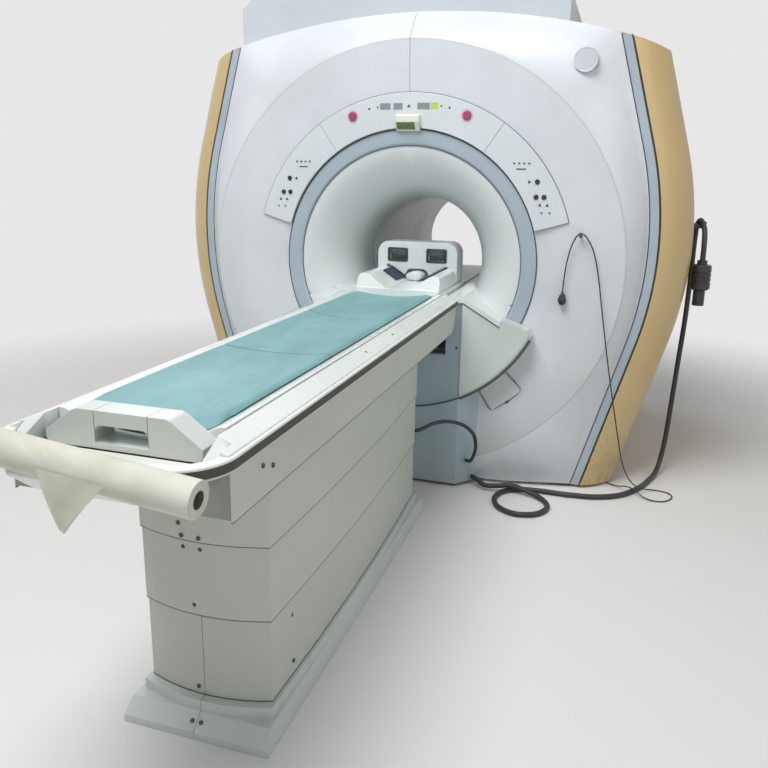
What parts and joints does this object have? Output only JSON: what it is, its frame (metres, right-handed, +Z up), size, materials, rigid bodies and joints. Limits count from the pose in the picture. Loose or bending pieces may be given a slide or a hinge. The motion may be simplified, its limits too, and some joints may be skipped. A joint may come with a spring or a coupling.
{
  "type": "mri scanner",
  "caption": "Whole-body MRI scanner: a cylindrical magnet in moulded covers with a flared bore, and a docked lifting patient table with a sliding cradle and head coil.",
  "frame": {"origin": "on the floor below the isocentre, on the underside of the magnet's base frame", "axes": "+X to the right as seen from the table end, +Y from the table into the bore along the bore axis, +Z up"},
  "size_m": [2.663, 4.1173, 2.3306],
  "materials": {
    "white_cover": "satin lacquered moulding",
    "beige_cover": "satin lacquered moulding",
    "grey_trim": "satin",
    "hood_grey": "satin",
    "rear_white": "satin",
    "bore_white": "semi gloss",
    "coil_copper": "cast epoxy over copper",
    "coil_epoxy": "cast epoxy",
    "vessel_steel": "satin",
    "frame_steel": "painted",
    "panel_grey": "satin membrane",
    "stop_red": "glossy",
    "key_black": "matte",
    "cream": "satin",
    "dock_grey": "satin",
    "shroud_grey": "fine textured paint",
    "rail_white": "satin",
    "bumper_rubber": "matte",
    "screw_dark": "blackened",
    "belt_black": "matte",
    "cradle_white": "semi gloss",
    "pad_teal": "coated fabric",
    "cushion_blue": "coated foam",
    "paper": "crepe paper",
    "cord_black": "matte"
  },
  "bodies": {
    "magnet": {"front_cover_left": "white_cover", "front_cover_right": "white_cover", "trim_bands": "grey_trim", "side_cover_left": "beige_cover", "side_cover_right": "beige_cover", "roof_hood": "hood_grey", "rear_cover": "rear_white", "bore_ring": "grey_trim", "bell_mouth": "bore_white", "bore_liner": "bore_white", "body_coil": "coil_copper", "gradient_coil": "coil_epoxy", "cryostat": "vessel_steel", "cold_head": "frame_steel", "base_frame": "frame_steel", "control_panels": "panel_grey", "aperture_box": "cream", "dock_chin": "white_cover", "dock_front": "dock_grey", "mouth_floor": "rail_white", "dock_hatch": "white_cover", "bore_bridge": "rail_white", "cord_hooks": "key_black", "fixed_screws": "screw_dark", "table_plinth": "shroud_grey", "lift_base": "frame_steel", "cable_riser": "key_black", "lower_shroud": "shroud_grey", "call_cord": "cord_black", "call_bulb": "cord_black", "coil_cable": "cord_black", "cable_plug": "cord_black", "feed_hose": "cord_black"},
    "table_mid": {"middle_shroud": "shroud_grey"},
    "table_top": {"lift_mast": "vessel_steel", "upper_shroud": "shroud_grey", "top_screws": "screw_dark", "table_frame": "rail_white", "rail_panels": "shroud_grey", "bumpers": "bumper_rubber", "rail_caps": "rail_white", "foot_apron": "cream", "drive_belt": "belt_black", "roll_holder": "frame_steel", "paper_tail": "paper"},
    "cradle": {"cradle": "cradle_white", "cradle_handle": "cream", "pad": "pad_teal", "coil_tray": "cradle_white", "head_coil": "cradle_white", "coil_cushion": "cushion_blue"},
    "paper_roll": {"paper_roll": "paper"},
    "stop_left": {"stop_left": "stop_red"},
    "stop_right": {"stop_right": "stop_red"},
    "key_left_top": {"key_left_top": "key_black"},
    "key_left_inner": {"key_left_inner": "key_black"},
    "key_left_outer": {"key_left_outer": "key_black"},
    "key_right_top": {"key_right_top": "key_black"},
    "key_right_inner": {"key_right_inner": "key_black"},
    "key_right_outer": {"key_right_outer": "key_black"}
  },
  "joints": [
    {"name": "table_lift", "type": "slide", "parent": "magnet", "child": "table_top", "axis": [0, 0, 1], "range_m": [-0.22, 0]},
    {"name": "shroud_follow", "type": "slide", "parent": "magnet", "child": "table_mid", "axis": [0, 0, 1], "range_m": [-0.11, 0]},
    {"name": "cradle_slide", "type": "slide", "parent": "table_top", "child": "cradle", "axis": [0, 1, 0], "range_m": [0, 1.6]},
    {"name": "roll_spin", "type": "hinge", "parent": "table_top", "child": "paper_roll", "pos_m": [0, -3.208, 0.935], "axis": [0.9947, 0, -0.1028], "continuous": true},
    {"name": "stop_left_press", "type": "slide", "parent": "magnet", "child": "stop_left", "axis": [0, 1, 0], "range_m": [0, 0.003], "stiffness_N_per_m": 1500},
    {"name": "stop_right_press", "type": "slide", "parent": "magnet", "child": "stop_right", "axis": [0, 1, 0], "range_m": [0, 0.003], "stiffness_N_per_m": 1500},
    {"name": "key_left_top_press", "type": "slide", "parent": "magnet", "child": "key_left_top", "axis": [0, 1, 0], "range_m": [0, 0.002], "stiffness_N_per_m": 1000},
    {"name": "key_left_inner_press", "type": "slide", "parent": "magnet", "child": "key_left_inner", "axis": [0, 1, 0], "range_m": [0, 0.002], "stiffness_N_per_m": 1000},
    {"name": "key_left_outer_press", "type": "slide", "parent": "magnet", "child": "key_left_outer", "axis": [0, 1, 0], "range_m": [0, 0.002], "stiffness_N_per_m": 1000},
    {"name": "key_right_top_press", "type": "slide", "parent": "magnet", "child": "key_right_top", "axis": [0, 1, 0], "range_m": [0, 0.002], "stiffness_N_per_m": 1000},
    {"name": "key_right_inner_press", "type": "slide", "parent": "magnet", "child": "key_right_inner", "axis": [0, 1, 0], "range_m": [0, 0.002], "stiffness_N_per_m": 1000},
    {"name": "key_right_outer_press", "type": "slide", "parent": "magnet", "child": "key_right_outer", "axis": [0, 1, 0], "range_m": [0, 0.002], "stiffness_N_per_m": 1000}
  ],
  "couplings": [
    {"joint": "shroud_follow", "follows": "table_lift", "ratio": 0.5}
  ]
}
